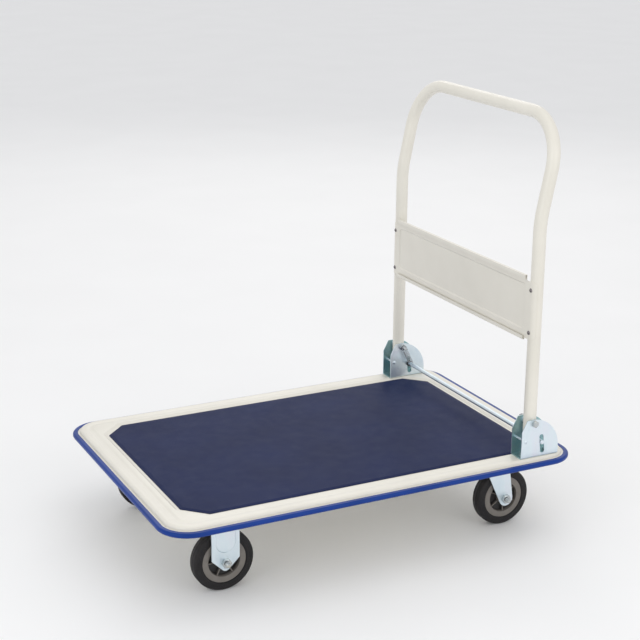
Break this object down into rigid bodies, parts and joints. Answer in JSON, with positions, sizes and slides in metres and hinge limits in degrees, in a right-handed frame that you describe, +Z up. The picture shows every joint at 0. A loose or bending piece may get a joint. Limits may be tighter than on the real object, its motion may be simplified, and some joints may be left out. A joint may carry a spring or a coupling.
{
  "type": "platform trolley",
  "caption": "Flat-deck platform trolley with a folding push handle, spring-loaded lock rod, edge bumper, fixed front casters and swivel rear casters.",
  "frame": {"origin": "on the floor under the centre of the deck", "axes": "+X towards the handle end, +Y towards the right hand of a person pushing from the handle, +Z up"},
  "size_m": [0.91, 0.62, 0.8884],
  "materials": {
    "ivory_powder_coat": "semi-gloss powder coat",
    "mat_vinyl": "fine-grained navy vinyl",
    "bumper_vinyl": "satin blue vinyl",
    "zinc_plated_steel": "bright zinc plate",
    "blackened_steel": "black oxide",
    "spring_steel": "drawn wire",
    "polished_steel": "ground",
    "black_plastic": "moulded black",
    "tyre_rubber": "matt black rubber",
    "hub_plastic": "warm grey nylon"
  },
  "bodies": {
    "deck": {"deck_pan": "ivory_powder_coat", "deck_mat": "mat_vinyl", "edge_bumper": "bumper_vinyl", "front_cross_channel": "ivory_powder_coat", "rear_cross_channel": "ivory_powder_coat", "bracket_bolts": "zinc_plated_steel", "bracket_nuts": "zinc_plated_steel", "stop_rivets": "zinc_plated_steel", "pivot_nuts": "zinc_plated_steel", "caster_bolts": "zinc_plated_steel", "caster_nuts": "zinc_plated_steel", "king_pins": "zinc_plated_steel", "bearing_balls": "polished_steel", "front_axle_bolts": "zinc_plated_steel", "front_axle_nuts": "zinc_plated_steel", "side_stiffener_left": "ivory_powder_coat", "fold_bracket_left": "zinc_plated_steel", "pivot_bolt_left": "zinc_plated_steel", "return_spring_left": "spring_steel", "fixed_fork_left": "zinc_plated_steel", "swivel_plate_left": "zinc_plated_steel", "side_stiffener_right": "ivory_powder_coat", "fold_bracket_right": "zinc_plated_steel", "pivot_bolt_right": "zinc_plated_steel", "return_spring_right": "spring_steel", "fixed_fork_right": "zinc_plated_steel", "swivel_plate_right": "zinc_plated_steel"},
    "handle": {"handle_tube": "ivory_powder_coat", "handle_panel": "ivory_powder_coat", "panel_screws": "blackened_steel", "post_washers": "zinc_plated_steel", "foot_plug_left": "black_plastic", "foot_plug_right": "black_plastic", "pivot_bush_left": "polished_steel", "pivot_bush_right": "polished_steel"},
    "lock_rod": {"release_rod": "zinc_plated_steel", "rod_clips": "black_plastic"},
    "swivel_left": {"swivel_fork_left": "zinc_plated_steel", "lower_race_left": "zinc_plated_steel", "rear_axle_bolt_left": "zinc_plated_steel", "rear_axle_nut_left": "zinc_plated_steel"},
    "front_wheel_left": {"front_tyre_left": "tyre_rubber", "front_hub_left": "hub_plastic", "front_wheel_bush_left": "polished_steel"},
    "rear_wheel_left": {"rear_tyre_left": "tyre_rubber", "rear_hub_left": "hub_plastic", "rear_wheel_bush_left": "polished_steel"},
    "swivel_right": {"swivel_fork_right": "zinc_plated_steel", "lower_race_right": "zinc_plated_steel", "rear_axle_bolt_right": "zinc_plated_steel", "rear_axle_nut_right": "zinc_plated_steel"},
    "front_wheel_right": {"front_tyre_right": "tyre_rubber", "front_hub_right": "hub_plastic", "front_wheel_bush_right": "polished_steel"},
    "rear_wheel_right": {"rear_tyre_right": "tyre_rubber", "rear_hub_right": "hub_plastic", "rear_wheel_bush_right": "polished_steel"}
  },
  "joints": [
    {"name": "handle_fold", "type": "hinge", "parent": "deck", "child": "handle", "pos_m": [0.3486, 0, 0.2565], "axis": [0, -1, 0], "range_deg": [0, 98.5]},
    {"name": "lock_rod_slide", "type": "slide", "parent": "deck", "child": "lock_rod", "axis": [0.1154, 0, -0.9933], "range_m": [0, 0.015], "stiffness_N_per_m": 400, "springref_m": -0.02, "deforming": ["return_spring_left", "return_spring_right"]},
    {"name": "caster_swivel_left", "type": "hinge", "parent": "deck", "child": "swivel_left", "pos_m": [0.308, -0.1935, 0.1475], "axis": [0, 0, 1], "continuous": true},
    {"name": "front_wheel_spin_left", "type": "hinge", "parent": "deck", "child": "front_wheel_left", "pos_m": [-0.31, -0.2105, 0.0625], "axis": [0, 1, 0], "continuous": true},
    {"name": "rear_wheel_spin_left", "type": "hinge", "parent": "swivel_left", "child": "rear_wheel_left", "pos_m": [0.338, -0.1935, 0.0625], "axis": [0, 1, 0], "continuous": true},
    {"name": "caster_swivel_right", "type": "hinge", "parent": "deck", "child": "swivel_right", "pos_m": [0.308, 0.1935, 0.1475], "axis": [0, 0, 1], "continuous": true},
    {"name": "front_wheel_spin_right", "type": "hinge", "parent": "deck", "child": "front_wheel_right", "pos_m": [-0.31, 0.2105, 0.0625], "axis": [0, 1, 0], "continuous": true},
    {"name": "rear_wheel_spin_right", "type": "hinge", "parent": "swivel_right", "child": "rear_wheel_right", "pos_m": [0.338, 0.1935, 0.0625], "axis": [0, 1, 0], "continuous": true}
  ]
}
